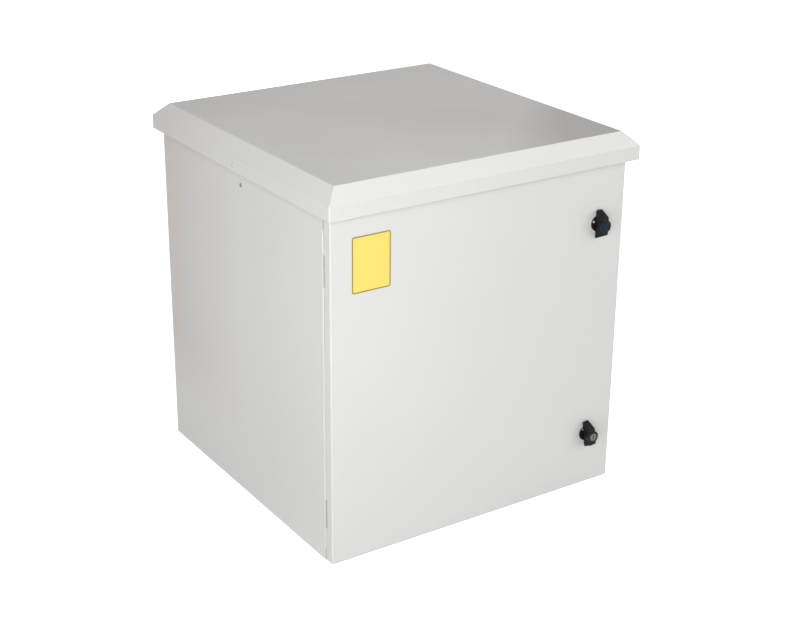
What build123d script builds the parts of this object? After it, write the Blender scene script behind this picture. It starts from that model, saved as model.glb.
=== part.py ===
from build123d import *
import os

# Outdoor wall-mounted cabinet for rack equipment, in millimetres.
# The wall is the plane Y = 0, the door faces -Y, Z is up, and the origin is the middle of the wall holes.

# Body sheet
cabinet_width = 600.0
cabinet_depth = 594.0
body_height = 645.0
sheet = 1.5
fold_radius = 2.5
weld_flange = 15.0
corner_relief = 3.0
overrun = 5.0

# Wall fixing
stand_off = 20.0
wall_hole_side_distance = 100.0
wall_hole_floor_distance = 60.0
wall_hole_top_distance = 85.0
wall_hole_diameter = 11.0
wall_bush_diameter = 28.0
wall_bush_edge = 1.0

# Door, its frame and its gasket
door_depth = 18.0
door_gap = 4.0
door_floor_gap = 0.5
door_top_drop = 32.0
frame_flange = 20.0
gasket_width = 12.0
gasket_thickness = 8.0
gasket_bead_edge = 3.0
gasket_corner_radius = 10.0
gasket_clearance = 0.3

# Door stiffener
stiffener_crown = 30.0
stiffener_height = 12.0
stiffener_foot = 12.0
stiffener_end_gap = 60.0

# Roof hood, its bearers, brackets and screws
roof_side_overhang = 13.0
roof_front_overhang = 20.0
roof_rear_overhang = 16.0
roof_lap = 25.0
roof_lip_height = 25.0
roof_chamfer = 24.0
roof_seam_width = 1.2
roof_seam_depth = 1.0
bearer_crown = 40.0
bearer_foot = 15.0
bearer_side_distance = 90.0
bearer_end_distance = 110.0
bracket_length = 40.0
bracket_height = 18.0
bracket_lip_gap = 2.0
roof_screw_height = 11.5
roof_screw_advance = 5.5
roof_screw_diameter = 4.0
roof_screw_head_diameter = 8.0
roof_screw_head_height = 2.4
roof_screw_length = 8.0

# Cross recess of the screws
recess_length_share = 0.55
recess_width = 1.0

# Side plugs
plug_drop = 51.5
plug_hole_diameter = 5.0
plug_head_diameter = 7.0
plug_head_height = 1.0
plug_stem_length = 3.0

# Rack rails and their supports
rack_unit_height = 44.45
rack_hole_shares = (1 / 7, 1 / 2, 6 / 7)
rack_hole_inset = 7.55
rack_hole_size = 9.5
rail_side_distance = 47.0
rail_face_width = 28.0
rail_leg_depth = 40.0
rail_sheet = 2.0
rail_end_margin = 6.0
support_crown = 40.0
support_foot = 12.0
support_rail_end_distance = 60.0
support_end_gap = 24.5
support_end_margin = 20.0
slot_length = 24.0
slot_width = 7.0
slot_count = 12
rail_bolt_diameter = 6.0
rail_bolt_length = 14.0
rail_bolt_head_across = 10.0
rail_bolt_head_height = 4.0
rail_nut_height = 5.0

# Gland plate
gland_cutout_width = 260.0
gland_cutout_depth = 110.0
gland_cutout_radius = 6.0
gland_rear_distance = 130.0
gland_plate_margin = 20.0
gland_plate_thickness = 2.0
gland_gasket_thickness = 2.0
gland_screw_diameter = 5.0
gland_screw_head_diameter = 9.0
gland_screw_head_height = 3.0
gland_screw_floor_gap = 0.3

# Earth studs
body_stud_diameter = 8.0
body_stud_length = 25.0
body_stud_nut_across = 13.0
body_stud_nut_height = 6.5
body_stud_side_distance = 40.0
body_stud_front_distance = 70.0
door_stud_diameter = 6.0
door_stud_length = 18.0
door_stud_nut_across = 10.0
door_stud_nut_height = 5.0
door_stud_side_distance = 55.0
door_stud_bottom_distance = 70.0

# Hinges
hinge_top_distance = 87.5
hinge_bottom_distance = 90.0
hinge_height = 53.0
hinge_barrel_diameter = 5.2
hinge_pin_diameter = 3.0
hinge_axis_inset = 2.0
hinge_axis_setback = 0.4
hinge_leaf = 1.5
hinge_frame_knuckle = 16.5
hinge_knuckle_gap = 0.3
hinge_leaf_bridge = 1.0
hinge_leaf_lip_gap = 0.5
hinge_notch_clearance = 0.5
hinge_pin_end = 1.0

# Latches
latch_inset = 57.0
latch_top_distance = 102.5
latch_bottom_distance = 103.0
latch_flange_diameter = 28.5
latch_flange_thickness = 2.2
latch_flange_edge = 0.6
latch_barrel_diameter = 20.0
latch_barrel_length = 20.0
latch_nut_across = 26.0
latch_nut_height = 5.0
spindle_diameter = 10.0
tenon_width = 7.0
knob_gap = 0.3
knob_length = 51.0
knob_crest_length = 32.0
knob_end_height = 2.0
knob_height = 20.2
knob_thickness = 12.0
knob_edge = 1.0
lower_knob_turn = 8.0
boss_diameter = 23.0
boss_foot_diameter = 14.0
boss_height = 20.9
boss_edge = 0.6
plug_bore_diameter = 14.0
plug_bore_depth = 9.0
key_slot_width = 2.2
key_slot_length = 8.0
key_slot_depth = 5.0
cap_recess_depth = 3.0
cap_dome = 0.8
cam_gap = 1.0
cam_thickness = 3.0
cam_width = 14.0
cam_eye_diameter = 18.0
cam_overlap = 12.0
cam_bolt_diameter = 4.0
cam_bolt_length = 10.0
cam_bolt_head_across = 10.0
cam_bolt_head_height = 3.0

# Fits
running_clearance = 0.05
hole_clearance = 0.3

# Planes and levels that the pieces share
half_width = cabinet_width / 2
inner_half_width = half_width - sheet
rear_plane = -stand_off
rear_inner_plane = rear_plane - sheet
front_plane = rear_plane - cabinet_depth
door_inner_plane = front_plane + sheet
door_back = front_plane + door_depth
frame_plane = door_back + door_gap
frame_back = frame_plane + sheet
wall_hole_spacing_x = cabinet_width - 2 * wall_hole_side_distance
wall_hole_spacing_z = body_height - wall_hole_floor_distance - wall_hole_top_distance
floor_level = -wall_hole_floor_distance - wall_hole_spacing_z / 2
top_level = floor_level + body_height
door_bottom = floor_level + door_floor_gap
door_top = top_level - door_top_drop
door_height = door_top - door_bottom
door_middle = (door_bottom + door_top) / 2
opening_half_width = half_width - frame_flange
opening_bottom = door_bottom + frame_flange
opening_top = door_top - frame_flange
lip_side = opening_half_width + sheet
lip_front = door_inner_plane + gasket_thickness + gasket_clearance
lip_bottom = top_level - roof_lap
roof_top = lip_bottom + roof_lip_height + roof_chamfer
side_fixing_depth = (front_plane + rear_plane) / 2 - roof_screw_advance
inside_middle = (frame_back + rear_inner_plane) / 2
rail_outer = half_width - rail_side_distance
rail_inner = rail_outer - rail_face_width
rack_units = int((opening_top - opening_bottom - 2 * rail_end_margin) / rack_unit_height)
rail_height = rack_units * rack_unit_height + 2 * rail_end_margin
rail_bottom = door_middle - rail_height / 2
support_levels = (
    rail_bottom + support_rail_end_distance,
    rail_bottom + rail_height - support_rail_end_distance,
)
support_length = rear_inner_plane - frame_back - 2 * support_end_gap
slot_pitch = (support_length - 2 * support_end_margin) / slot_count
rail_bolt_reach = (slot_count - 1) * slot_pitch / 2
hinge_x = -half_width + hinge_axis_inset
hinge_y = door_back + hinge_axis_setback
latch_x = half_width - latch_inset
knob_base = front_plane - latch_flange_thickness - knob_gap
cam_front = frame_back + cam_gap
left_and_right = {"left": -1, "right": 1}

os.makedirs("parts", exist_ok=True)


def save(piece, name):
    """Label a finished piece and write its file."""
    piece.part.label = name
    export_step(piece.part, f"parts/{name}.step")


def folded_section(points, thickness):
    """Section of a folded sheet: its skin runs through the points and its metal lies to their right."""
    with BuildSketch() as section:
        with BuildLine():
            FilletPolyline(*points, radius=fold_radius)
            offset(amount=thickness, side=Side.RIGHT)
        make_face()
    return section.sketch


def hat_section(crown, height, foot, thickness):
    """Section of a hat channel whose feet stand on the local X axis."""
    half_crown = crown / 2
    points = [
        (-half_crown - foot, thickness),
        (-half_crown, thickness),
        (-half_crown, height),
        (half_crown, height),
        (half_crown, thickness),
        (half_crown + foot, thickness),
    ]
    return folded_section(points, thickness)


def hex_bolt(across, head_height, diameter, length):
    """Hexagon-head bolt: its head stands on the local XY plane and its shank hangs below."""
    with BuildPart() as bolt:
        with BuildSketch():
            RegularPolygon(across / 2, 6, major_radius=False)
        extrude(amount=head_height)
        with BuildSketch():
            Circle(diameter / 2)
        extrude(amount=-length)
    return bolt.part


def hex_nut(across, height, bore):
    """Hexagon nut that stands on the local XY plane."""
    with BuildPart() as nut:
        with BuildSketch():
            RegularPolygon(across / 2, 6, major_radius=False)
            Circle(bore / 2, mode=Mode.SUBTRACT)
        extrude(amount=height)
    return nut.part


def pan_screw(head_diameter, head_height, diameter, length):
    """Pan-head screw with a cross recess: its head stands on the local XY plane and its shank hangs below."""
    with BuildPart() as screw:
        with BuildSketch():
            Circle(head_diameter / 2)
        extrude(amount=head_height)
        fillet(screw.edges().group_by(Axis.Z)[-1], radius=head_height / 2)
        with BuildSketch():
            Circle(diameter / 2)
        extrude(amount=-length)
        with BuildSketch(Plane.XY.offset(head_height)):
            for turn in (0, 90):
                SlotOverall(head_diameter * recess_length_share, recess_width, rotation=turn)
        extrude(amount=-head_height / 2, mode=Mode.SUBTRACT)
    return screw.part


# Body wrap: left side, rear and right side folded from one sheet.
# Between the floor and top panels its front edges fold into a flange and a gutter lip.
side_and_rear = [
    (-half_width, frame_plane),
    (-half_width, rear_plane),
    (half_width, rear_plane),
    (half_width, frame_plane),
]
left_gutter = [(-lip_side, lip_front), (-lip_side, frame_plane)]
right_gutter = [(lip_side, frame_plane), (lip_side, lip_front)]
with BuildPart() as body_wrap:
    for low, high, points in (
        (floor_level, opening_bottom, side_and_rear),
        (opening_bottom, opening_top, left_gutter + side_and_rear + right_gutter),
        (opening_top, top_level, side_and_rear),
    ):
        with BuildSketch(Plane.XY.offset(low)):
            add(folded_section(points, sheet))
        extrude(amount=high - low)
    with BuildSketch(Plane.XZ.offset(-rear_plane)):
        with GridLocations(wall_hole_spacing_x, wall_hole_spacing_z, 2, 2):
            Circle(wall_hole_diameter / 2)
    extrude(amount=overrun, both=True, mode=Mode.SUBTRACT)
    with BuildSketch(Plane.YZ):
        with Locations((side_fixing_depth, top_level - plug_drop)):
            Circle(plug_hole_diameter / 2)
    extrude(amount=half_width + overrun, both=True, mode=Mode.SUBTRACT)
save(body_wrap, "body_wrap")

# Floor and top panels: welded between the sides, each folded into a front flange, a lip and a rear flange.
floor_points = [
    (rear_inner_plane, floor_level + weld_flange),
    (rear_inner_plane, floor_level),
    (frame_plane, floor_level),
    (frame_plane, opening_bottom - sheet),
    (lip_front, opening_bottom - sheet),
]
top_points = [
    (lip_front, opening_top + sheet),
    (frame_plane, opening_top + sheet),
    (frame_plane, top_level),
    (rear_inner_plane, top_level),
    (rear_inner_plane, top_level - weld_flange),
]
gland_middle = rear_inner_plane - gland_rear_distance
gland_plate_width = gland_cutout_width + 2 * gland_plate_margin
gland_plate_depth = gland_cutout_depth + 2 * gland_plate_margin
gland_screw_spacing_x = gland_cutout_width + gland_plate_margin
gland_screw_spacing_y = gland_cutout_depth + gland_plate_margin
lip_trim = inner_half_width - lip_side
for name, points, lip_level in (
    ("floor_panel", floor_points, opening_bottom),
    ("top_panel", top_points, opening_top),
):
    with BuildPart() as panel:
        with BuildSketch(Plane.YZ):
            add(folded_section(points, sheet))
        extrude(amount=inner_half_width, both=True)
        with BuildSketch(Plane.XZ.offset(-frame_plane)):
            with Locations((lip_side + lip_trim / 2, lip_level), (-lip_side - lip_trim / 2, lip_level)):
                Rectangle(lip_trim, frame_flange)
        extrude(amount=frame_plane - lip_front + overrun, mode=Mode.SUBTRACT)
        with BuildSketch(Plane.XY.offset(lip_level)):
            with Locations((-inner_half_width, rear_inner_plane), (inner_half_width, rear_inner_plane)):
                Rectangle(2 * corner_relief, 2 * corner_relief)
        extrude(amount=body_height, both=True, mode=Mode.SUBTRACT)
        if name == "floor_panel":
            with BuildSketch(Plane.XY.offset(floor_level)):
                with Locations((0, gland_middle)):
                    RectangleRounded(gland_cutout_width, gland_cutout_depth, gland_cutout_radius)
                    with GridLocations(gland_screw_spacing_x, gland_screw_spacing_y, 2, 2):
                        Circle(gland_screw_diameter / 2 + running_clearance)
            extrude(amount=overrun, both=True, mode=Mode.SUBTRACT)
    save(panel, name)

# Roof hood: a flat top, a chamfer and a lip, folded from one sheet and welded at the corners.
roof_width = cabinet_width + 2 * roof_side_overhang
roof_front = front_plane - roof_front_overhang
roof_depth = roof_rear_overhang + cabinet_depth + roof_front_overhang
roof_screw_level = lip_bottom + roof_screw_height
with BuildPart() as roof_hood:
    with BuildSketch(Plane.XY.offset(lip_bottom)):
        with Locations((0, roof_front + roof_depth / 2)):
            Rectangle(roof_width, roof_depth)
    extrude(amount=roof_top - lip_bottom)
    chamfer(roof_hood.faces().sort_by(Axis.Z)[-1].edges(), length=roof_chamfer)
    fillet(roof_hood.edges() - roof_hood.edges().group_by(Axis.Z)[0], radius=fold_radius)
    offset(amount=-sheet, openings=roof_hood.faces().sort_by(Axis.Z)[0])
    with BuildSketch(Plane.YZ):
        with Locations((side_fixing_depth, roof_screw_level)):
            Circle(roof_screw_diameter / 2 + running_clearance)
    extrude(amount=roof_width, both=True, mode=Mode.SUBTRACT)
    for side in left_and_right.values():
        with BuildSketch(Plane.YZ.offset(side * roof_width / 2)):
            with Locations((roof_front + roof_chamfer, lip_bottom + roof_lip_height / 2 - fold_radius)):
                Rectangle(roof_seam_width, roof_lip_height)
        extrude(amount=roof_seam_depth, both=True, mode=Mode.SUBTRACT)
save(roof_hood, "roof_hood")

# Roof bearers: hat channels welded on the top panel, which carry the flat of the hood.
bearer_places = {
    "front": frame_plane + bearer_end_distance,
    "rear": rear_plane - bearer_end_distance,
}
for end, place in bearer_places.items():
    with BuildPart() as bearer:
        with BuildSketch(Plane.YZ):
            with Locations((place, top_level)):
                add(hat_section(bearer_crown, roof_top - sheet - top_level, bearer_foot, sheet))
        extrude(amount=half_width - bearer_side_distance, both=True)
    save(bearer, f"{end}_roof_bearer")

# Roof brackets: small channels between the sides and the hood's lips, which take the lip screws.
bracket_bottom = lip_bottom + bracket_lip_gap
for name, side in left_and_right.items():
    bracket_points = [
        (side * half_width, bracket_bottom),
        (side * half_width, bracket_bottom + bracket_height),
        (side * (roof_width / 2 - sheet), bracket_bottom + bracket_height),
        (side * (roof_width / 2 - sheet), bracket_bottom),
    ]
    with BuildPart() as bracket:
        with BuildSketch(Plane.XZ.offset(-side_fixing_depth)):
            add(folded_section(bracket_points[::side], sheet))
        extrude(amount=bracket_length / 2, both=True)
        with BuildSketch(Plane.YZ.offset(side * roof_width / 2)):
            with Locations((side_fixing_depth, roof_screw_level)):
                Circle(roof_screw_diameter / 2 + running_clearance)
        extrude(amount=-side * roof_side_overhang / 2, mode=Mode.SUBTRACT)
    save(bracket, f"{name}_roof_bracket")

with BuildPart() as roof_screws:
    for side in left_and_right.values():
        with Locations(Plane((side * roof_width / 2, side_fixing_depth, roof_screw_level), z_dir=(side, 0, 0))):
            add(pan_screw(roof_screw_head_diameter, roof_screw_head_height, roof_screw_diameter, roof_screw_length))
save(roof_screws, "roof_screws")

# Side plugs: small dark plugs pressed into a hole near the middle of each side, under the roof screw.
with BuildPart() as side_plugs:
    for side in left_and_right.values():
        with BuildSketch(Plane((side * half_width, side_fixing_depth, top_level - plug_drop), z_dir=(side, 0, 0))):
            Circle(plug_head_diameter / 2)
        extrude(amount=plug_head_height)
    fillet(side_plugs.edges().group_by(Axis.X)[0], radius=plug_head_height / 2)
    fillet(side_plugs.edges().group_by(Axis.X)[-1], radius=plug_head_height / 2)
    for side in left_and_right.values():
        with BuildSketch(Plane((side * half_width, side_fixing_depth, top_level - plug_drop), z_dir=(side, 0, 0))):
            Circle(plug_hole_diameter / 2 - running_clearance)
        extrude(amount=-plug_stem_length)
save(side_plugs, "side_plugs")

# Wall bushes: turned spacers behind the rear panel, one at each wall hole.
with BuildPart() as wall_bushes:
    with BuildSketch(Plane.XZ):
        with GridLocations(wall_hole_spacing_x, wall_hole_spacing_z, 2, 2):
            Circle(wall_bush_diameter / 2)
            Circle(wall_hole_diameter / 2, mode=Mode.SUBTRACT)
    extrude(amount=stand_off)
    outer_rims = wall_bushes.edges().filter_by(GeomType.CIRCLE)
    chamfer(outer_rims.filter_by(lambda rim: rim.radius > wall_hole_diameter), length=wall_bush_edge)
save(wall_bushes, "wall_bushes")

# Rail supports: hat channels along each side wall, with slots that set the depth of the rails.
support_front = inside_middle - support_length / 2
for name, side in left_and_right.items():
    for height, level in zip(("lower", "upper"), support_levels):
        with BuildPart() as support:
            with BuildSketch(Plane.XZ.offset(-support_front)):
                with Locations((side * inner_half_width, level)):
                    add(
                        hat_section(support_crown, inner_half_width - rail_outer, support_foot, rail_sheet),
                        rotation=side * 90,
                    )
            extrude(amount=-support_length)
            with BuildSketch(Plane.YZ.offset(side * rail_outer)):
                with Locations((inside_middle, level)):
                    with GridLocations(slot_pitch, slot_pitch, slot_count, 1):
                        SlotOverall(slot_length, slot_width)
            extrude(amount=rail_sheet + overrun, both=True, mode=Mode.SUBTRACT)
        save(support, f"{height}_{name}_rail_support")

# Rack rails: folded angles with a row of square holes, one pair at the front and one at the rear.
rack_hole_levels = [
    rail_bottom + rail_end_margin + (unit + share) * rack_unit_height
    for unit in range(rack_units)
    for share in rack_hole_shares
]
front_and_rear = {"front": -1, "rear": 1}
for name, side in left_and_right.items():
    for end, outward in front_and_rear.items():
        bolt_place = inside_middle + outward * rail_bolt_reach
        rail_face = bolt_place + outward * rail_leg_depth / 2
        rail_points = [
            (side * rail_inner, rail_face),
            (side * rail_outer, rail_face),
            (side * rail_outer, rail_face - outward * rail_leg_depth),
        ]
        with BuildPart() as rail:
            with BuildSketch(Plane.XY.offset(rail_bottom)):
                add(folded_section(rail_points[:: side * outward], rail_sheet))
            extrude(amount=rail_height)
            with BuildSketch(Plane.XZ.offset(-rail_face)):
                with Locations(*[(side * (rail_inner + rack_hole_inset), level) for level in rack_hole_levels]):
                    Rectangle(rack_hole_size, rack_hole_size)
            extrude(amount=overrun, both=True, mode=Mode.SUBTRACT)
            with BuildSketch(Plane.YZ.offset(side * rail_outer)):
                with Locations(*[(bolt_place, level) for level in support_levels]):
                    Circle(rail_bolt_diameter / 2 + hole_clearance)
            extrude(amount=overrun, both=True, mode=Mode.SUBTRACT)
        save(rail, f"{end}_{name}_rack_rail")

# Rail bolts and nuts: one of each where a rail crosses a support.
rail_crossings = [
    (side, inside_middle + outward * rail_bolt_reach, level)
    for side in left_and_right.values()
    for outward in front_and_rear.values()
    for level in support_levels
]
with BuildPart() as rail_bolts:
    for side, place, level in rail_crossings:
        with Locations(Plane((side * (rail_outer - rail_sheet), place, level), z_dir=(-side, 0, 0))):
            add(hex_bolt(rail_bolt_head_across, rail_bolt_head_height, rail_bolt_diameter, rail_bolt_length))
save(rail_bolts, "rail_bolts")

with BuildPart() as rail_nuts:
    for side, place, level in rail_crossings:
        with Locations(Plane((side * (rail_outer + rail_sheet), place, level), z_dir=(side, 0, 0))):
            add(hex_nut(rail_bolt_head_across, rail_nut_height, rail_bolt_diameter + 2 * running_clearance))
save(rail_nuts, "rail_nuts")

# Gland plate: a blank plate on a flat gasket, screwed down over the cut-out in the floor.
gland_gasket_level = floor_level + sheet
gland_plate_level = gland_gasket_level + gland_gasket_thickness
gland_top_level = gland_plate_level + gland_plate_thickness
with BuildPart() as gland_gasket:
    with BuildSketch(Plane.XY.offset(gland_gasket_level)):
        with Locations((0, gland_middle)):
            RectangleRounded(gland_plate_width, gland_plate_depth, gland_cutout_radius)
            RectangleRounded(gland_cutout_width, gland_cutout_depth, gland_cutout_radius, mode=Mode.SUBTRACT)
            with GridLocations(gland_screw_spacing_x, gland_screw_spacing_y, 2, 2):
                Circle(gland_screw_diameter / 2 + running_clearance, mode=Mode.SUBTRACT)
    extrude(amount=gland_gasket_thickness)
save(gland_gasket, "gland_gasket")

with BuildPart() as gland_plate:
    with BuildSketch(Plane.XY.offset(gland_plate_level)):
        with Locations((0, gland_middle)):
            RectangleRounded(gland_plate_width, gland_plate_depth, gland_cutout_radius)
            with GridLocations(gland_screw_spacing_x, gland_screw_spacing_y, 2, 2):
                Circle(gland_screw_diameter / 2 + running_clearance, mode=Mode.SUBTRACT)
    extrude(amount=gland_plate_thickness)
save(gland_plate, "gland_plate")

gland_screw_length = gland_top_level - floor_level - gland_screw_floor_gap
with BuildPart() as gland_screws:
    with Locations((0, gland_middle, gland_top_level)):
        with GridLocations(gland_screw_spacing_x, gland_screw_spacing_y, 2, 2):
            add(
                pan_screw(
                    gland_screw_head_diameter,
                    gland_screw_head_height,
                    gland_screw_diameter,
                    gland_screw_length,
                )
            )
save(gland_screws, "gland_screws")

# Earth studs: one welded to the floor, one welded to the inside of the door, each with a nut.
body_stud_x = -inner_half_width + body_stud_side_distance
body_stud_y = frame_back + body_stud_front_distance
body_stud_foot = floor_level + sheet
with BuildPart() as body_earth_stud:
    with BuildSketch(Plane.XY.offset(body_stud_foot)):
        with Locations((body_stud_x, body_stud_y)):
            Circle(body_stud_diameter / 2)
    extrude(amount=body_stud_length)
save(body_earth_stud, "body_earth_stud")

with BuildPart() as body_earth_nut:
    with Locations((body_stud_x, body_stud_y, body_stud_foot)):
        add(hex_nut(body_stud_nut_across, body_stud_nut_height, body_stud_diameter + 2 * running_clearance))
save(body_earth_nut, "body_earth_nut")

door_stud_x = -half_width + door_stud_side_distance
door_stud_level = door_bottom + door_stud_bottom_distance
with BuildPart() as door_earth_stud:
    with BuildSketch(Plane.XZ.offset(-door_inner_plane)):
        with Locations((door_stud_x, door_stud_level)):
            Circle(door_stud_diameter / 2)
    extrude(amount=-door_stud_length)
save(door_earth_stud, "door_earth_stud")

with BuildPart() as door_earth_nut:
    with Locations(Plane((door_stud_x, door_inner_plane, door_stud_level), z_dir=(0, 1, 0))):
        add(hex_nut(door_stud_nut_across, door_stud_nut_height, door_stud_diameter + 2 * running_clearance))
save(door_earth_nut, "door_earth_nut")

# Door pan: one sheet folded back on four sides, notched at the hinges and pierced for the latches.
hinge_levels = {"upper": door_top - hinge_top_distance, "lower": door_bottom + hinge_bottom_distance}
latch_levels = {"upper": door_top - latch_top_distance, "lower": door_bottom + latch_bottom_distance}
hinge_notch_front = hinge_y - hinge_barrel_diameter / 2 - hinge_notch_clearance
hinge_notch_depth = door_back - hinge_notch_front
with BuildPart() as door_pan:
    with BuildSketch(Plane.XZ.offset(-door_back)):
        with Locations((0, door_middle)):
            Rectangle(cabinet_width, door_height)
    extrude(amount=door_depth)
    fillet(door_pan.edges() - door_pan.edges().group_by(Axis.Y)[-1], radius=fold_radius)
    offset(amount=-sheet, openings=door_pan.faces().sort_by(Axis.Y)[-1])
    with BuildSketch(Plane.XZ.offset(-door_back)):
        with Locations(*[(-half_width, level) for level in hinge_levels.values()]):
            Rectangle(2 * fold_radius, hinge_height + 2 * hinge_notch_clearance)
    extrude(amount=hinge_notch_depth, mode=Mode.SUBTRACT)
    with BuildSketch(Plane.XZ.offset(-front_plane)):
        with Locations(*[(latch_x, level) for level in latch_levels.values()]):
            Circle(latch_barrel_diameter / 2 + hole_clearance)
    extrude(amount=overrun, both=True, mode=Mode.SUBTRACT)
save(door_pan, "door_pan")

# Door gasket: a foam bead on the inside of the door, opposite the gutter lips.
gasket_ring_width = 2 * (opening_half_width + sheet / 2)
gasket_ring_height = opening_top - opening_bottom + sheet
with BuildPart() as door_gasket:
    with BuildSketch(Plane.XZ.offset(-door_inner_plane)):
        with Locations((0, door_middle)):
            RectangleRounded(
                gasket_ring_width + gasket_width, gasket_ring_height + gasket_width, gasket_corner_radius
            )
            Rectangle(
                gasket_ring_width - gasket_width, gasket_ring_height - gasket_width, mode=Mode.SUBTRACT
            )
    extrude(amount=-gasket_thickness)
    chamfer(door_gasket.faces().sort_by(Axis.Y)[-1].edges(), length=gasket_bead_edge)
save(door_gasket, "door_gasket")

# Door stiffener: an upright hat channel welded to the inside of the door.
stiffener_bottom = opening_bottom + stiffener_end_gap
stiffener_length = opening_top - opening_bottom - 2 * stiffener_end_gap
with BuildPart() as door_stiffener:
    with BuildSketch(Plane.XY.offset(stiffener_bottom)):
        with Locations((0, door_inner_plane)):
            add(hat_section(stiffener_crown, stiffener_height, stiffener_foot, sheet))
    extrude(amount=stiffener_length)
save(door_stiffener, "door_stiffener")

# Hinges: a short knuckle on the body, a longer one on the door above it, and a pin through both.
# The barrel lies in the seam between the door's return and the body.
barrel_radius = hinge_barrel_diameter / 2
frame_leaf_inner = -lip_side - fold_radius - hinge_leaf_lip_gap
frame_leaf_outer = hinge_x + barrel_radius + hinge_notch_clearance
frame_leaf_bridge = hinge_x - hinge_leaf_bridge
door_leaf_front = door_inner_plane + fold_radius
door_leaf_middle = -inner_half_width + hinge_leaf / 2
for height, level in hinge_levels.items():
    hinge_bottom = level - hinge_height / 2
    door_knuckle_bottom = hinge_bottom + hinge_frame_knuckle + hinge_knuckle_gap
    door_knuckle_height = hinge_bottom + hinge_height - door_knuckle_bottom
    with BuildPart() as frame_leaf:
        with BuildSketch(Plane.XY.offset(hinge_bottom)):
            with Locations(((frame_leaf_outer + frame_leaf_inner) / 2, frame_plane - hinge_leaf / 2)):
                Rectangle(frame_leaf_inner - frame_leaf_outer, hinge_leaf)
        extrude(amount=hinge_height)
        with BuildSketch(Plane.XY.offset(hinge_bottom)):
            with Locations((hinge_x, hinge_y)):
                Circle(barrel_radius)
            with Locations(((frame_leaf_bridge + frame_leaf_inner) / 2, frame_plane - hinge_leaf / 2)):
                Rectangle(frame_leaf_inner - frame_leaf_bridge, hinge_leaf)
            with Locations((hinge_x, hinge_y)):
                Circle(hinge_pin_diameter / 2 + running_clearance, mode=Mode.SUBTRACT)
        extrude(amount=hinge_frame_knuckle)
    save(frame_leaf, f"{height}_hinge_frame_leaf")

    with BuildPart() as door_leaf:
        with BuildSketch(Plane.XY.offset(hinge_bottom)):
            with Locations((door_leaf_middle, (door_leaf_front + hinge_notch_front) / 2)):
                Rectangle(hinge_leaf, hinge_notch_front - door_leaf_front)
        extrude(amount=hinge_height)
        with BuildSketch(Plane.XY.offset(door_knuckle_bottom)):
            with Locations((hinge_x, hinge_y)):
                Circle(barrel_radius)
            with Locations((door_leaf_middle, (door_leaf_front + hinge_y) / 2)):
                Rectangle(hinge_leaf, hinge_y - door_leaf_front)
            with Locations((hinge_x, hinge_y)):
                Circle(hinge_pin_diameter / 2 + running_clearance, mode=Mode.SUBTRACT)
        extrude(amount=door_knuckle_height)
    save(door_leaf, f"{height}_hinge_door_leaf")

    with BuildPart() as hinge_pin:
        with BuildSketch(Plane.XY.offset(hinge_bottom + hinge_pin_end)):
            with Locations((hinge_x, hinge_y)):
                Circle(hinge_pin_diameter / 2)
        extrude(amount=hinge_height - 2 * hinge_pin_end)
    save(hinge_pin, f"{height}_hinge_pin")

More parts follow.
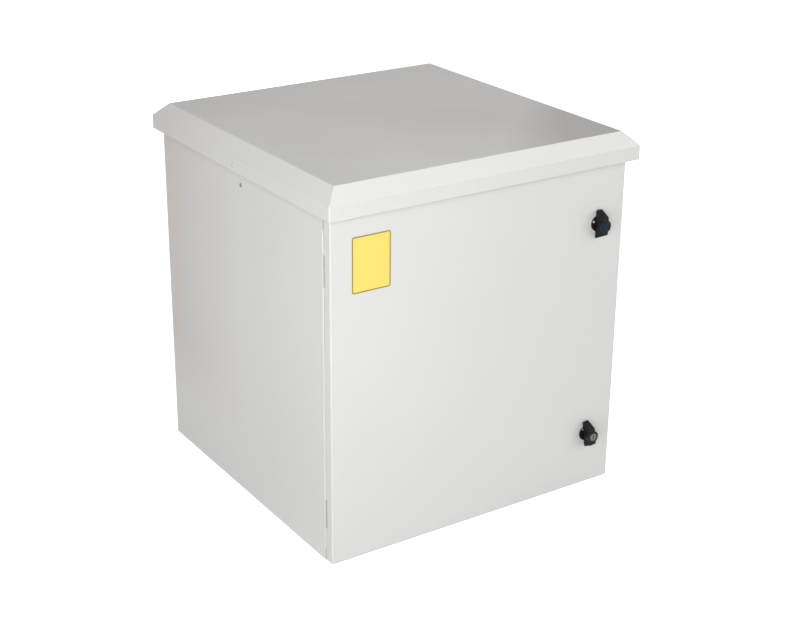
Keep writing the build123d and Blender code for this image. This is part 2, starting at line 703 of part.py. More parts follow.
# Latches: a housing clamped in the door by a nut, and a wing knob whose spindle turns a cam.
# The knob stands upright and the cam hangs down; a quarter turn brings the cam behind the frame flange.
# The boss of the knob spreads from its foot to the face. The lower knob stands a few degrees into its turn.
knob_crest = knob_base - knob_height
knob_profile = [
    (knob_base, -knob_length / 2),
    (knob_base - knob_end_height, -knob_length / 2),
    (knob_crest, -knob_crest_length / 2),
    (knob_crest, knob_crest_length / 2),
    (knob_base - knob_end_height, knob_length / 2),
    (knob_base, knob_length / 2),
]
boss_face = knob_base - boss_height
cam_reach = opening_half_width + cam_overlap - latch_x
spindle_length = cam_front - knob_base
plug_depths = {"upper": cap_recess_depth, "lower": plug_bore_depth}
knob_turns = {"upper": 0, "lower": lower_knob_turn}
for height, level in latch_levels.items():
    latch_axis = Axis((latch_x, front_plane, level), (0, -1, 0))
    with BuildPart() as housing:
        with BuildSketch(Plane.XZ.offset(-front_plane)):
            with Locations((latch_x, level)):
                Circle(latch_flange_diameter / 2)
        extrude(amount=latch_flange_thickness)
        fillet(housing.edges().group_by(Axis.Y)[0], radius=latch_flange_edge)
        with BuildSketch(Plane.XZ.offset(-front_plane)):
            with Locations((latch_x, level)):
                Circle(latch_barrel_diameter / 2)
        extrude(amount=-latch_barrel_length)
        with BuildSketch(Plane.XZ.offset(-front_plane)):
            with Locations((latch_x, level)):
                Circle(spindle_diameter / 2 + running_clearance)
        extrude(amount=latch_barrel_length + overrun, both=True, mode=Mode.SUBTRACT)
    save(housing, f"{height}_latch_housing")

    with BuildPart() as latch_nut:
        with Locations(Plane((latch_x, door_inner_plane, level), z_dir=(0, 1, 0))):
            add(hex_nut(latch_nut_across, latch_nut_height, latch_barrel_diameter + 2 * running_clearance))
    save(latch_nut, f"{height}_latch_nut")

    with BuildPart() as knob:
        with BuildSketch(Plane.YZ.offset(latch_x)):
            with BuildLine():
                Polyline(*[(place, level + rise) for place, rise in knob_profile], close=True)
            make_face()
        extrude(amount=knob_thickness / 2, both=True)
        fillet(knob.edges() - knob.edges().group_by(Axis.Y)[-1], radius=knob_edge)
        with BuildSketch(Plane.XZ.offset(-knob_base)):
            with Locations((latch_x, level)):
                Circle(boss_foot_diameter / 2)
        with BuildSketch(Plane.XZ.offset(-boss_face)):
            with Locations((latch_x, level)):
                Circle(boss_diameter / 2)
        loft()
        chamfer(knob.edges().group_by(Axis.Y)[0], length=boss_edge)
        with BuildSketch(Plane.XZ.offset(-boss_face)):
            with Locations((latch_x, level)):
                Circle(plug_bore_diameter / 2)
        extrude(amount=-plug_depths[height], mode=Mode.SUBTRACT)
        with BuildSketch(Plane.XZ.offset(-knob_base)):
            with Locations((latch_x, level)):
                Circle(spindle_diameter / 2)
        extrude(amount=-spindle_length)
        with BuildSketch(Plane.XZ.offset(-cam_front)):
            with Locations((latch_x, level)):
                Rectangle(tenon_width, tenon_width)
        extrude(amount=-cam_thickness)
        with BuildSketch(Plane.XZ.offset(-cam_front)):
            with Locations((latch_x, level)):
                Circle(cam_bolt_diameter / 2 + running_clearance)
        extrude(amount=cam_bolt_length, both=True, mode=Mode.SUBTRACT)
        add(knob.part.rotate(latch_axis, knob_turns[height]), mode=Mode.REPLACE)
    save(knob, f"{height}_wing_knob")

    with BuildPart() as cam:
        with BuildSketch(Plane.XZ.offset(-cam_front)):
            with Locations((latch_x, level)):
                Circle(cam_eye_diameter / 2)
            with Locations((latch_x, level - cam_reach / 2)):
                Rectangle(cam_width, cam_reach)
            with Locations((latch_x, level)):
                Rectangle(
                    tenon_width + 2 * running_clearance, tenon_width + 2 * running_clearance, mode=Mode.SUBTRACT
                )
        extrude(amount=-cam_thickness)
        add(cam.part.rotate(latch_axis, knob_turns[height]), mode=Mode.REPLACE)
    save(cam, f"{height}_cam")

    with BuildPart() as cam_bolt:
        with Locations(Plane((latch_x, cam_front + cam_thickness, level), z_dir=(0, 1, 0))):
            add(hex_bolt(cam_bolt_head_across, cam_bolt_head_height, cam_bolt_diameter, cam_bolt_length))
    save(cam_bolt, f"{height}_cam_bolt")

# Key plug of the lower knob, with its key slot.
with BuildPart() as key_plug:
    with BuildSketch(Plane.XZ.offset(-boss_face)):
        with Locations((latch_x, latch_levels["lower"])):
            Circle(plug_bore_diameter / 2 - running_clearance)
    extrude(amount=-plug_bore_depth + hole_clearance)
    with BuildSketch(Plane.XZ.offset(-boss_face)):
        with Locations((latch_x, latch_levels["lower"])):
            SlotOverall(key_slot_length, key_slot_width, rotation=90)
    extrude(amount=-key_slot_depth, mode=Mode.SUBTRACT)
save(key_plug, "key_plug")

# Blank cap of the upper knob.
with BuildPart() as knob_cap:
    with BuildSketch(Plane.XZ.offset(-boss_face)):
        with Locations((latch_x, latch_levels["upper"])):
            Circle(plug_bore_diameter / 2 - running_clearance)
    extrude(amount=-cap_recess_depth)
    extrude(knob_cap.faces().sort_by(Axis.Y)[0], amount=cap_dome)
    chamfer(knob_cap.edges().group_by(Axis.Y)[0], length=cap_dome / 2)
save(knob_cap, "upper_knob_cap")
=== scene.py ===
# Outdoor wall-mounted cabinet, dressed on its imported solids.
# Lengths are in metres, +Z is up and the door faces -Y.

import math

import bmesh
import bpy
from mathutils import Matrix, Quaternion, Vector


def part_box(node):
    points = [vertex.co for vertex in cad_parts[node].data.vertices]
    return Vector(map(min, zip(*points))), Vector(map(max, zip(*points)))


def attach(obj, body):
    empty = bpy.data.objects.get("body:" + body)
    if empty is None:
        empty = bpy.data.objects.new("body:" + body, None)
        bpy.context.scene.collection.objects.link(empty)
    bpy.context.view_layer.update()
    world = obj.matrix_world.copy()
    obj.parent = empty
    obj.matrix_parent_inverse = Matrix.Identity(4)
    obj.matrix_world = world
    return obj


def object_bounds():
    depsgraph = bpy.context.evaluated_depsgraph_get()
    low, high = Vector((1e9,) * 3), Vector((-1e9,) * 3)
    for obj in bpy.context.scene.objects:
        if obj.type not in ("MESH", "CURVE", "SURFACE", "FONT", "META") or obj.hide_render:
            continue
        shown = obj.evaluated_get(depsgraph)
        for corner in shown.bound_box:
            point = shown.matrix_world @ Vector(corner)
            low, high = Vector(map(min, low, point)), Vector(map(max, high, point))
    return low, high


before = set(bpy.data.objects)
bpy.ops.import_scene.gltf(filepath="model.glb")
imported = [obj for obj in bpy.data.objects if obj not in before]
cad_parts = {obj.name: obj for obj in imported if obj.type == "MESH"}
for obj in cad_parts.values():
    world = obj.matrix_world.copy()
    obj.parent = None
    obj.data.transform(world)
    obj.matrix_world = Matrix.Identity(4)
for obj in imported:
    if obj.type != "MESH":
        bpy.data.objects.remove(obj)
cad_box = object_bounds()


# Cabinet body: sides, rear, floor and top of folded and welded sheet steel, with the small channels
# that carry the roof. All of it is sprayed with a light grey powder coat and baked, which leaves a
# fine even grain.
class Wire:
    """A socket of a shader tree that is used in plain sums: each operator adds one Math node."""

    def __init__(self, tree, socket=None):
        self.tree = tree
        self.socket = socket

    def node(self, kind, settings, sockets, output=0):
        """Add a node: its settings come first, then the values or links of its sockets."""
        made = self.tree.nodes.new(kind)
        for name, value in settings.items():
            setattr(made, name, value)
        for key, value in sockets.items():
            if isinstance(value, Wire):
                self.tree.links.new(value.socket, made.inputs[key])
            else:
                made.inputs[key].default_value = value
        return Wire(self.tree, made.outputs[output] if made.outputs else None)

    def sum(self, operation, first, second):
        """Add the Math node of one operator."""
        return self.node("ShaderNodeMath", {"operation": operation}, {0: first, 1: second})

    def __add__(self, other):
        return self.sum("ADD", self, other)

    def __radd__(self, other):
        return self.sum("ADD", other, self)

    def __sub__(self, other):
        return self.sum("SUBTRACT", self, other)

    def __rsub__(self, other):
        return self.sum("SUBTRACT", other, self)

    def __mul__(self, other):
        return self.sum("MULTIPLY", self, other)

    def __rmul__(self, other):
        return self.sum("MULTIPLY", other, self)


def start_material(name):
    """Make an empty material and return it with its tree and the object coordinates."""
    material = bpy.data.materials.new(name)
    material.use_nodes = True
    material.node_tree.nodes.clear()
    tree = Wire(material.node_tree)
    return material, tree, tree.node("ShaderNodeTexCoord", {}, {}, output="Object")


def noise(tree, place, scale, detail):
    """Grey noise from nought to one."""
    return tree.node("ShaderNodeTexNoise", {}, {"Vector": place, "Scale": scale, "Detail": detail})


def ramp(tree, distance, start, length):
    """Mask that climbs from nought at the start to one over the length."""
    return tree.node("ShaderNodeClamp", {}, {"Value": (distance - start) * (1 / length)})


def blend_colours(tree, factor, first, second):
    """Mix two colours by a mask."""
    return tree.node("ShaderNodeMix", {"data_type": "RGBA"}, {0: factor, 6: first, 7: second}, output=2)


def grain(tree, height, depth):
    """Bump of a given depth from a height."""
    return tree.node("ShaderNodeBump", {}, {"Height": height, "Distance": depth, "Strength": 1.0})


def end_material(tree, sockets):
    """Close a material with a principled shader."""
    shader = tree.node("ShaderNodeBsdfPrincipled", {}, sockets)
    tree.node("ShaderNodeOutputMaterial", {}, {"Surface": shader})


def dress(material, *names):
    """Give CAD nodes a material in every slot that they have."""
    for name in names:
        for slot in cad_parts[name].material_slots:
            slot.material = material


def powder_coat(name, dust_and_top_shade, front_right_darkening, rear_right_painted_shade, side_tint):
    """Baked powder coat: a fine grain, a slow drift of tone, and dust with painted shade on what faces
    up.

    Two more amounts darken what faces up towards two corners: towards the front right, and with painted
    shade towards the rear right. The last one is a thin brown tint on the left side, which grows
    towards the rear and the top."""
    coat_colour = (0.735, 0.730, 0.712, 1.0)
    coat_shaded_colour = (0.700, 0.695, 0.678, 1.0)
    dust_and_shade_colour = (0.345, 0.334, 0.316, 1.0)
    side_tint_colour = (0.410, 0.260, 0.205, 1.0)
    grain_size = 0.0011
    grain_depth = 0.000035
    drift_size = 0.25
    ragged_edge = 0.12
    even_share = 0.7
    patchy_share = 0.6
    material, tree, place = start_material(name)
    drift = noise(tree, place, scale=1 / drift_size, detail=3.0)
    fine = noise(tree, place, scale=1 / grain_size, detail=2.0)
    patches = noise(tree, place, scale=3.0, detail=4.0)
    normal = tree.node("ShaderNodeNewGeometry", {}, {}, output="Normal")
    upward = tree.node("ShaderNodeSeparateXYZ", {}, {0: normal}, output="Z")
    facing_up = ramp(tree, upward, start=0.8, length=0.2)
    across = tree.node("ShaderNodeSeparateXYZ", {}, {0: place}, output="X")
    along = tree.node("ShaderNodeSeparateXYZ", {}, {0: place}, output="Y")
    up = tree.node("ShaderNodeSeparateXYZ", {}, {0: place}, output="Z")
    middle_along = (cad_box[0][1] + cad_box[1][1]) / 2
    ragged = ragged_edge * (patches - 0.5)
    to_front_right = ramp(tree, across - along + middle_along + ragged, start=0.32, length=0.2)
    to_rear_right = ramp(tree, across + along - middle_along, start=-0.4, length=0.4545)
    to_rear = ramp(tree, along, start=-0.3, length=0.25)
    to_left = ramp(tree, -1.0 * across, start=0.175, length=0.125)
    to_top = ramp(tree, up, start=-0.22, length=0.125)
    coat = blend_colours(tree, drift, coat_colour, coat_shaded_colour)
    # Darker towards the front right corner, and painted shade towards the rear right corner.
    corner_darkening = front_right_darkening * to_front_right + rear_right_painted_shade * to_rear_right
    # What faces up gets dust together with painted shade, which darkens the flat top.
    dust_and_shade = facing_up * (dust_and_top_shade * (even_share + patchy_share * patches) + corner_darkening)
    coat_with_dust_and_shade = blend_colours(tree, dust_and_shade, coat, dust_and_shade_colour)
    # A thin brown tint on the left side, which grows towards the rear and the top.
    side_tint_mask = side_tint * to_rear * to_left * to_top * (1.0 - facing_up)
    side_tinted = blend_colours(tree, side_tint_mask, coat_with_dust_and_shade, side_tint_colour)
    end_material(
        tree,
        {
            "Base Color": side_tinted,
            "Roughness": 0.36 + 0.10 * patches + 0.06 * fine,
            "Specular IOR Level": 0.45,
            "Normal": grain(tree, fine, grain_depth),
        },
    )
    return material


body_coat = powder_coat(
    "body_powder_coat", dust_and_top_shade=0.05, front_right_darkening=0.0, rear_right_painted_shade=0.0, side_tint=0.23
)
dress(
    body_coat,
    "body_wrap",
    "floor_panel",
    "top_panel",
    "front_roof_bearer",
    "rear_roof_bearer",
    "left_roof_bracket",
    "right_roof_bracket",
)

# Roof hood: one sheet folded over the body with a chamfer and a lip, welded and ground at the corners.
# It has the same powder coat. Its flat top has a thin film of dust and painted shade, darker towards
# the front right, and painted shade towards the rear right.
roof_coat = powder_coat(
    "roof_powder_coat", dust_and_top_shade=0.42, front_right_darkening=0.62, rear_right_painted_shade=0.22, side_tint=0.16
)
dress(roof_coat, "roof_hood")

# Door: a shallow pan folded from one sheet, with a hat channel welded behind it.
# It is powder coated with the body.
door_coat = powder_coat(
    "door_powder_coat", dust_and_top_shade=0.05, front_right_darkening=0.0, rear_right_painted_shade=0.0, side_tint=0.0
)
dress(door_coat, "door_pan", "door_stiffener")

# Rack rails, rail supports and gland plate: galvanised sheet, left bare inside the cabinet.
# The zinc freezes in flat crystals, so the tone and the shine change from patch to patch.
material, tree, place = start_material("galvanised_sheet")
crystal = tree.node("ShaderNodeTexVoronoi", {}, {"Vector": place, "Scale": 110.0}, output="Color")
tone = tree.node("ShaderNodeSeparateColor", {}, {0: crystal}, output="Red")
cloud = noise(tree, place, scale=30.0, detail=4.0)
light_zinc = (0.66, 0.68, 0.69, 1.0)
dark_zinc = (0.50, 0.52, 0.54, 1.0)
end_material(
    tree,
    {
        "Base Color": blend_colours(tree, 0.6 * tone + 0.3 * cloud, light_zinc, dark_zinc),
        "Metallic": 0.85,
        "Roughness": 0.36 + 0.16 * tone,
    },
)
dress(
    material,
    "lower_left_rail_support",
    "upper_left_rail_support",
    "lower_right_rail_support",
    "upper_right_rail_support",
    "front_left_rack_rail",
    "rear_left_rack_rail",
    "front_right_rack_rail",
    "rear_right_rack_rail",
    "gland_plate",
)


# Spot welds: the marks that the electrodes leave where a channel's feet are welded to the sheet, in
# even rows. They are shallow round spots: dulled zinc on the rail supports, and coated with the door
# on its stiffener.
def weld_rows_tree():
    """Node tree that sets flat round spots along each edge of a mesh."""
    tree = bpy.data.node_groups.new("spot_weld_rows", "GeometryNodeTree")
    tree.interface.new_socket("Rows", in_out="INPUT", socket_type="NodeSocketGeometry")
    tree.interface.new_socket("Spots In A Row", in_out="INPUT", socket_type="NodeSocketInt")
    tree.interface.new_socket("Spot Half Size", in_out="INPUT", socket_type="NodeSocketVector")
    tree.interface.new_socket("Finish", in_out="INPUT", socket_type="NodeSocketMaterial")
    tree.interface.new_socket("Spots", in_out="OUTPUT", socket_type="NodeSocketGeometry")
    given = tree.nodes.new("NodeGroupInput")
    made = tree.nodes.new("NodeGroupOutput")
    to_curve = tree.nodes.new("GeometryNodeMeshToCurve")
    resample = tree.nodes.new("GeometryNodeResampleCurve")
    ball = tree.nodes.new("GeometryNodeMeshUVSphere")
    ball.inputs["Segments"].default_value = 16
    ball.inputs["Rings"].default_value = 8
    spread = tree.nodes.new("GeometryNodeInstanceOnPoints")
    realize = tree.nodes.new("GeometryNodeRealizeInstances")
    smooth = tree.nodes.new("GeometryNodeSetShadeSmooth")
    finish = tree.nodes.new("GeometryNodeSetMaterial")
    tree.links.new(given.outputs["Rows"], to_curve.inputs["Mesh"])
    tree.links.new(to_curve.outputs["Curve"], resample.inputs["Curve"])
    tree.links.new(given.outputs["Spots In A Row"], resample.inputs["Count"])
    tree.links.new(resample.outputs["Curve"], spread.inputs["Points"])
    tree.links.new(ball.outputs["Mesh"], spread.inputs["Instance"])
    tree.links.new(given.outputs["Spot Half Size"], spread.inputs["Scale"])
    tree.links.new(spread.outputs["Instances"], realize.inputs["Geometry"])
    tree.links.new(realize.outputs["Geometry"], smooth.inputs["Geometry"])
    tree.links.new(smooth.outputs["Geometry"], finish.inputs["Geometry"])
    tree.links.new(given.outputs["Finish"], finish.inputs["Material"])
    tree.links.new(finish.outputs["Geometry"], made.inputs["Spots"])
    return tree


def weld_spots(name, tree, rows, count, half_size, material):
    """Plain mesh object with the spots of all rows; a row is its two end points."""
    points = [point for row in rows for point in row]
    edges = [(2 * index, 2 * index + 1) for index in range(len(rows))]
    rows_mesh = bpy.data.meshes.new(f"{name}_rows")
    rows_mesh.from_pydata(points, edges, [])
    rows_object = bpy.data.objects.new(f"{name}_rows", rows_mesh)
    bpy.context.collection.objects.link(rows_object)
    modifier = rows_object.modifiers.new("spots", "NODES")
    modifier.node_group = tree
    values = {"Spots In A Row": count, "Spot Half Size": half_size, "Finish": material}
    for item in tree.interface.items_tree:
        if item.in_out == "INPUT" and item.name in values:
            modifier[item.identifier] = values[item.name]
    evaluated = rows_object.evaluated_get(bpy.context.evaluated_depsgraph_get())
    spots = bpy.data.objects.new(name, bpy.data.meshes.new_from_object(evaluated))
    bpy.context.collection.objects.link(spots)
    rows_object.modifiers.clear()
    bpy.data.objects.remove(rows_object)
    return spots


support_spots = 7
stiffener_spots = 6
spot_radius = 0.0026
spot_rise = 0.00016
row_end = 0.030
foot_middle = 0.006
support_sheet = 0.002
stiffener_sheet = 0.0015
weld_tree = weld_rows_tree()
material, tree, place = start_material("dulled_weld_zinc")
heat = noise(tree, place, scale=500.0, detail=3.0)
dulled_zinc = (0.30, 0.31, 0.32, 1.0)
pale_dulled_zinc = (0.40, 0.41, 0.42, 1.0)
end_material(
    tree,
    {
        "Base Color": blend_colours(tree, heat, dulled_zinc, pale_dulled_zinc),
        "Metallic": 0.7,
        "Roughness": 0.50 + 0.15 * heat,
    },
)
support_rows = []
for side in ("left", "right"):
    for height in ("lower", "upper"):
        low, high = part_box(f"{height}_{side}_rail_support")
        x = low[0] + support_sheet if side == "left" else high[0] - support_sheet
        for z in (low[2] + foot_middle, high[2] - foot_middle):
            support_rows.append(((x, low[1] + row_end, z), (x, high[1] - row_end, z)))
support_welds = weld_spots(
    "support_weld_spots",
    weld_tree,
    support_rows,
    support_spots,
    (spot_rise, spot_radius, spot_radius),
    material,
)
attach(support_welds, "cabinet")

low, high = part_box("door_stiffener")
foot_y = low[1] + stiffener_sheet
stiffener_rows = [
    ((x, foot_y, low[2] + row_end), (x, foot_y, high[2] - row_end))
    for x in (low[0] + foot_middle, high[0] - foot_middle)
]
stiffener_welds = weld_spots(
    "stiffener_weld_spots",
    weld_tree,
    stiffener_rows,
    stiffener_spots,
    (spot_radius, spot_rise, spot_radius),
    door_coat,
)
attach(stiffener_welds, "door")

# Fasteners, wall bushes, cams and hinge pins: turned or pressed steel with a bright zinc plate.
# Handling leaves the plate a little cloudy.
material, tree, place = start_material("bright_zinc_plate")
cloud = noise(tree, place, scale=160.0, detail=3.0)
scratch = noise(tree, place, scale=1400.0, detail=2.0)
bright_zinc = (0.62, 0.62, 0.615, 1.0)
cloudy_zinc = (0.50, 0.50, 0.495, 1.0)
end_material(
    tree,
    {
        "Base Color": blend_colours(tree, cloud, bright_zinc, cloudy_zinc),
        "Metallic": 1.0,
        "Roughness": 0.34 + 0.18 * cloud,
        "Normal": grain(tree, scratch, depth=0.00001),
    },
)
dress(
    material,
    "roof_screws",
    "wall_bushes",
    "rail_bolts",
    "rail_nuts",
    "gland_screws",
    "body_earth_stud",
    "body_earth_nut",
    "door_earth_stud",
    "door_earth_nut",
    "upper_hinge_pin",
    "lower_hinge_pin",
    "upper_latch_nut",
    "lower_latch_nut",
    "upper_cam",
    "lower_cam",
    "upper_cam_bolt",
    "lower_cam_bolt",
)

# Hinges: slim pressed leaves with rolled knuckles, in dull grey passivated steel.
# They are set in the seam at the left of the door.
material, tree, place = start_material("dull_hinge_steel")
wear = noise(tree, place, scale=260.0, detail=4.0)
hinge_grey = (0.42, 0.42, 0.41, 1.0)
worn_grey = (0.32, 0.32, 0.312, 1.0)
end_material(
    tree,
    {
        "Base Color": blend_colours(tree, wear, hinge_grey, worn_grey),
        "Metallic": 0.3,
        "Roughness": 0.46 + 0.16 * wear,
    },
)
dress(
    material,
    "upper_hinge_frame_leaf",
    "lower_hinge_frame_leaf",
    "upper_hinge_door_leaf",
    "lower_hinge_door_leaf",
)

# Seals: a black foam bead that is cast on the inside of the door, and a flat gasket under the gland
# plate. Small closed pores show in the skin of the foam.
material, tree, place = start_material("black_foam_seal")
pores = tree.node("ShaderNodeTexVoronoi", {}, {"Vector": place, "Scale": 900.0}, output="Distance")
skin = noise(tree, place, scale=60.0, detail=3.0)
foam_black = (0.020, 0.020, 0.021, 1.0)
foam_dark_grey = (0.036, 0.036, 0.037, 1.0)
end_material(
    tree,
    {
        "Base Color": blend_colours(tree, skin, foam_black, foam_dark_grey),
        "Roughness": 0.70 + 0.18 * skin,
        "Normal": grain(tree, pores, depth=0.0001),
    },
)
dress(material, "door_gasket", "gland_gasket")

# Side plugs: small moulded buttons of grey rubber.
# One is pressed into the spare hole of each side.
material, tree, place = start_material("grey_plug_rubber")
mould_grain = noise(tree, place, scale=800.0, detail=2.0)
rubber_grey = (0.240, 0.235, 0.227, 1.0)
rubber_pale_grey = (0.300, 0.294, 0.285, 1.0)
end_material(
    tree,
    {
        "Base Color": blend_colours(tree, mould_grain, rubber_grey, rubber_pale_grey),
        "Roughness": 0.60 + 0.20 * mould_grain,
    },
)
dress(material, "side_plugs")

# Latches: two housings clamped in the door, each with a wing knob, moulded in satin black.
# The upper knob is closed by a dark blue cap; the lower one holds a nickelled key plug.
material, tree, place = start_material("satin_black_moulding")
mould_grain = noise(tree, place, scale=1500.0, detail=2.0)
sheen = noise(tree, place, scale=90.0, detail=3.0)
satin_black = (0.006, 0.006, 0.007, 1.0)
pale_satin_black = (0.012, 0.012, 0.013, 1.0)
end_material(
    tree,
    {
        "Base Color": blend_colours(tree, sheen, satin_black, pale_satin_black),
        "Roughness": 0.34 + 0.14 * sheen,
        "Specular IOR Level": 0.14,
        "Normal": grain(tree, mould_grain, depth=0.00002),
    },
)
dress(
    material,
    "upper_latch_housing",
    "lower_latch_housing",
    "upper_wing_knob",
    "lower_wing_knob",
)

material, tree, place = start_material("dark_blue_cap")
sheen = noise(tree, place, scale=120.0, detail=3.0)
cap_blue = (0.004, 0.015, 0.030, 1.0)
cap_pale_blue = (0.007, 0.023, 0.044, 1.0)
end_material(
    tree,
    {
        "Base Color": blend_colours(tree, sheen, cap_blue, cap_pale_blue),
        "Roughness": 0.34 + 0.14 * sheen,
        "Specular IOR Level": 0.12,
    },
)
dress(material, "upper_knob_cap")

material, tree, place = start_material("nickelled_key_plug")
turning = noise(tree, place, scale=700.0, detail=3.0)
nickel = (0.20, 0.197, 0.188, 1.0)
dark_nickel = (0.12, 0.118, 0.112, 1.0)
end_material(
    tree,
    {
        "Base Color": blend_colours(tree, turning, nickel, dark_nickel),
        "Metallic": 1.0,
        "Roughness": 0.34 + 0.16 * turning,
    },
)
dress(material, "key_plug")

# Painted highlights: a dot of light paint on the rim of each latch housing.
# It stands in for a glint of light on the rim.
mark_rise = 0.00012
mark_sides = 20
cool_share = 1.02
dull_share = 0.80
dull_cool_share = 0.82
for name, height, mark_radius, mark_circle, turn, tone in (
    ("upper_painted_highlight_dot", "upper", 0.0023, 0.0114, math.radians(155.0), 0.72),
    ("lower_painted_highlight_dot", "lower", 0.0019, 0.0122, math.radians(131.0), 0.50),
):
    low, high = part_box(f"{height}_latch_housing")
    axis_x = (low[0] + high[0]) / 2
    axis_z = (low[2] + high[2]) / 2
    mark_x = axis_x + mark_circle * math.cos(turn)
    mark_z = axis_z + mark_circle * math.sin(turn)
    rim = [math.tau * step / mark_sides for step in range(mark_sides)]
    points = [
        (mark_x + mark_radius * math.cos(angle), low[1] - lift, mark_z + mark_radius * math.sin(angle))
        for lift in (0.0, mark_rise)
        for angle in rim
    ]
    back = list(range(mark_sides))[::-1]
    front = list(range(mark_sides, 2 * mark_sides))
    walls = [
        (step, (step + 1) % mark_sides, mark_sides + (step + 1) % mark_sides, mark_sides + step)
        for step in range(mark_sides)
    ]
    mesh = bpy.data.meshes.new(name)
    mesh.from_pydata(points, [], [back, front] + walls)
    mark = bpy.data.objects.new(name, mesh)
    bpy.context.collection.objects.link(mark)
    material, tree, place = start_material(f"{height}_highlight_paint")
    brushed = noise(tree, place, scale=900.0, detail=2.0)
    light = (tone, tone, tone * cool_share, 1.0)
    dull = (tone * dull_share, tone * dull_share, tone * dull_cool_share, 1.0)
    end_material(
        tree,
        {
            "Base Color": blend_colours(tree, brushed, light, dull),
            "Roughness": 0.45 + 0.15 * brushed,
        },
    )
    mesh.materials.append(material)
    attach(mark, "door")

# Label: a blank yellow vinyl sticker with a printed ochre border.
# It is stuck on the door near the upper hinge.
label_width = 0.073
label_height = 0.096
label_thickness = 0.00018
label_corner = 0.004
label_border = 0.0022
label_from_left = 0.0766
label_from_bottom = 0.5315
corner_steps = 6
door_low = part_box("door_pan")[0]
label_middle = Vector((door_low[0] + label_from_left, door_low[1], door_low[2] + label_from_bottom))


def rounded_outline(width, height, radius):
    """Points round a rectangle with rounded corners, anticlockwise."""
    points = []
    for corner, (across, up) in enumerate(((1, 1), (-1, 1), (-1, -1), (1, -1))):
        for step in range(corner_steps + 1):
            turn = math.pi / 2 * (corner + step / corner_steps)
            x = across * (width / 2 - radius) + radius * math.cos(turn)
            z = up * (height / 2 - radius) + radius * math.sin(turn)
            points.append((x, z))
    return points


label_mesh = bmesh.new()
label_rings = []
for inset, lift in ((0, 0), (0, label_thickness), (label_border, label_thickness)):
    outline = rounded_outline(label_width - 2 * inset, label_height - 2 * inset, label_corner - inset)
    label_rings.append([label_mesh.verts.new(label_middle + Vector((x, -lift, z))) for x, z in outline])
for lower, upper in zip(label_rings, label_rings[1:]):
    for index in range(len(lower)):
        after = (index + 1) % len(lower)
        label_mesh.faces.new((lower[index], lower[after], upper[after], upper[index]))
field_face = label_mesh.faces.new(label_rings[-1])
field_face.material_index = 1
label_mesh.faces.new(label_rings[0][::-1])
bmesh.ops.recalc_face_normals(label_mesh, faces=label_mesh.faces)
mesh = bpy.data.meshes.new("door_label")
label_mesh.to_mesh(mesh)
label_mesh.free()
label = bpy.data.objects.new("door_label", mesh)
bpy.context.collection.objects.link(label)
for name, first, second in (
    ("label_border_ink", (0.270, 0.205, 0.035, 1.0), (0.320, 0.245, 0.050, 1.0)),
    ("label_yellow_vinyl", (0.95, 0.73, 0.155, 1.0), (0.92, 0.69, 0.140, 1.0)),
):
    material, tree, place = start_material(name)
    print_grain = noise(tree, place, scale=220.0, detail=3.0)
    end_material(
        tree,
        {
            "Base Color": blend_colours(tree, print_grain, first, second),
            "Roughness": 0.30 + 0.10 * print_grain,
        },
    )
    mesh.materials.append(material)
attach(label, "door")

# Stage: a white studio floor with no visible edge.
# It lies just under the cabinet's flat underside.
floor_reach = 9.0
floor_gap = 0.0005
floor_grey = (0.50, 0.50, 0.50, 1.0)
floor_brightness = 0.95
floor_level = cad_box[0][2] - floor_gap
floor_mesh = bpy.data.meshes.new("studio_floor")
floor_mesh.from_pydata(
    [(x * floor_reach, y * floor_reach, floor_level) for x, y in ((-1, -1), (1, -1), (1, 1), (-1, 1))],
    [],
    [(0, 1, 2, 3)],
)
floor = bpy.data.objects.new("studio_floor", floor_mesh)
bpy.context.collection.objects.link(floor)
material = bpy.data.materials.new("white_studio_floor")
material.use_nodes = True
material.node_tree.nodes.clear()
tree = Wire(material.node_tree)


def seen_directly(tree):
    """One for rays from the camera, from a mirror or through glass, and nought for the rest."""
    camera_ray = tree.node("ShaderNodeLightPath", {}, {}, output="Is Camera Ray")
    glossy_ray = tree.node("ShaderNodeLightPath", {}, {}, output="Is Glossy Ray")
    glass_ray = tree.node("ShaderNodeLightPath", {}, {}, output="Is Transmission Ray")
    return tree.node("ShaderNodeClamp", {}, {"Value": camera_ray + glossy_ray + glass_ray})


floor_diffuse = tree.node("ShaderNodeBsdfDiffuse", {}, {"Color": floor_grey})
floor_lift = tree.node("ShaderNodeEmission", {}, {"Strength": seen_directly(tree) * floor_brightness})
floor_shader = tree.node("ShaderNodeAddShader", {}, {0: floor_diffuse, 1: floor_lift})
tree.node("ShaderNodeOutputMaterial", {}, {"Surface": floor_shader})
floor_mesh.materials.append(material)

# World: even grey light all round the cabinet.
# Where it is seen directly it is white, as a studio backdrop is.
world = bpy.data.worlds.new("studio_world")
bpy.context.scene.world = world
world.use_nodes = True
world.node_tree.nodes.clear()
tree = Wire(world.node_tree)
even_light = 0.20
backdrop_light = even_light + (1.0 - even_light) * seen_directly(tree)
background = tree.node(
    "ShaderNodeBackground", {}, {"Color": (1.0, 1.0, 1.0, 1.0), "Strength": backdrop_light}
)
tree.node("ShaderNodeOutputWorld", {}, {"Surface": background})

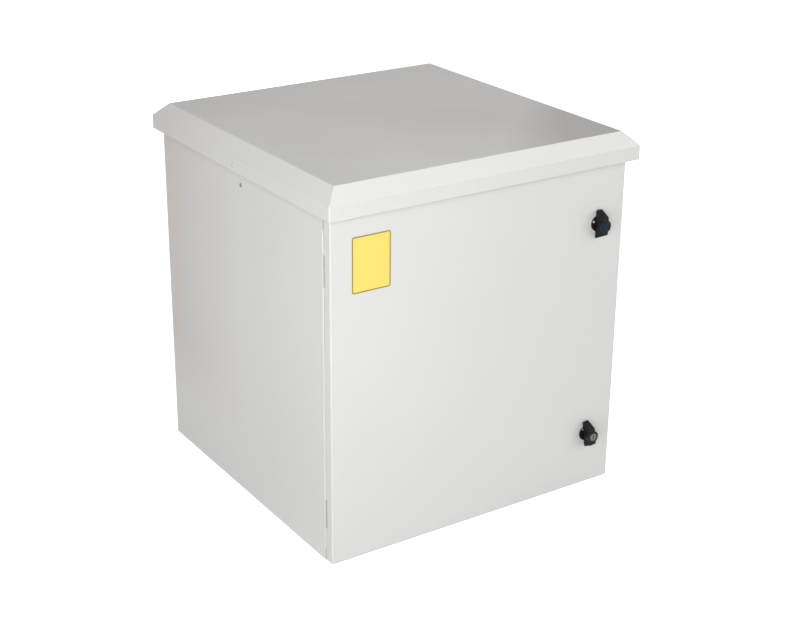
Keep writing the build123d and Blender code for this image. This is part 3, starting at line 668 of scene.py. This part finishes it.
# Lamps: the main soft box stands beside the camera, so the lips cast hardly any shadow that it sees.
# Weaker ones stand low at the left and at the right, and a high one draws the thin shade under the left
# lip. One hangs over the roof, and a low one behind keeps the rear readable.
cabinet_middle = (Vector(cad_box[0]) + Vector(cad_box[1])) / 2
for name, place, size, power in (
    ("camera_side_soft_box", (-1.571, -2.738, 0.910), 1.4, 48.6),
    ("low_left_soft_box", (-2.634, -1.720, 0.338), 1.2, 20.8),
    ("high_left_soft_box", (-2.200, -0.450, 2.050), 0.8, 3.8),
    ("right_soft_box", (2.000, -2.600, 0.900), 2.4, 22.0),
    ("roof_soft_box", (0.890, -0.180, 2.805), 1.0, 30.2),
    ("rear_soft_box", (0.900, 2.700, 0.020), 0.6, 26.0),
):
    lamp = bpy.data.lights.new(name, "AREA")
    lamp.shape = "SQUARE"
    lamp.size = size
    lamp.energy = power
    lamp_object = bpy.data.objects.new(name, lamp)
    lamp_object.location = place
    lamp_object.rotation_mode = "QUATERNION"
    lamp_object.rotation_quaternion = (cabinet_middle - Vector(place)).to_track_quat("-Z", "Y")
    bpy.context.collection.objects.link(lamp_object)

# Camera: from the front left and above, fitted to the cabinet's edges in the photograph.
# Its lens and sensor are in millimetres, and the shifts are shares of the frame's width.
camera_place = Vector((-1.4621, -2.5536, 1.0947))
camera_aim = Vector((-0.0657, -0.3584, 0.0599))
camera_roll = math.radians(0.081)
camera_lens = 69.850
camera_sensor_width = 36.0
camera_shift_x = 0.0390
camera_shift_y = -0.0403
camera = bpy.data.cameras.new("photo_camera")
camera.sensor_fit = "HORIZONTAL"
camera.sensor_width = camera_sensor_width
camera.lens = camera_lens
camera.shift_x = camera_shift_x
camera.shift_y = camera_shift_y
camera_object = bpy.data.objects.new("photo_camera", camera)
camera_object.location = camera_place
camera_object.rotation_mode = "QUATERNION"
aim_turn = (camera_aim - camera_place).to_track_quat("-Z", "Y")
camera_object.rotation_quaternion = aim_turn @ Quaternion((0.0, 0.0, 1.0), camera_roll)
bpy.context.collection.objects.link(camera_object)
bpy.context.scene.camera = camera_object
bpy.context.scene.view_settings.view_transform = "Standard"
